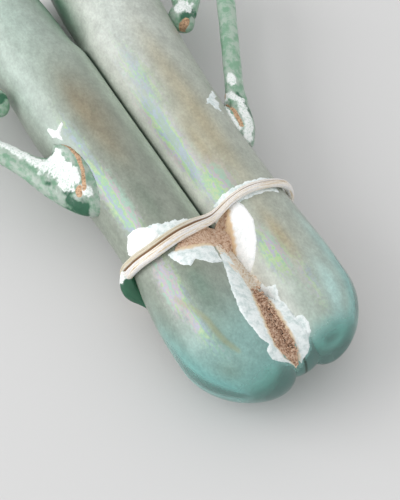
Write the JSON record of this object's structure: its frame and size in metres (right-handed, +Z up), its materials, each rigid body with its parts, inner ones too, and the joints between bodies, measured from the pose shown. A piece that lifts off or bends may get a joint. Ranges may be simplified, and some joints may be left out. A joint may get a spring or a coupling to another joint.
{
  "type": "double unguentarium of blown glass",
  "caption": "Twin-tubed blown glass flask for unguent, lying on its back, with a wound trail near the rounded base and a looped trail handle on each side.",
  "frame": {"origin": "on the surface that the flask lies on, under the middle of its box", "axes": "+X towards the right tube, +Y along the tubes towards the mouths, +Z up from the surface"},
  "size_m": [0.0912, 0.138, 0.0258],
  "materials": {
    "body_glass": "blue-green blown glass under a thin, iridescent, silvery-brown weathering film, with white flakes of crust",
    "trail_glass": "glass trail weathered to an opaque cream with brown creases",
    "handle_glass": "clear green glass trail with white flaking crust at its feet"
  },
  "bodies": {
    "root": {"double_tube": "body_glass", "wound_trail": "trail_glass", "left_handle": "handle_glass", "right_handle": "handle_glass"}
  },
  "joints": []
}
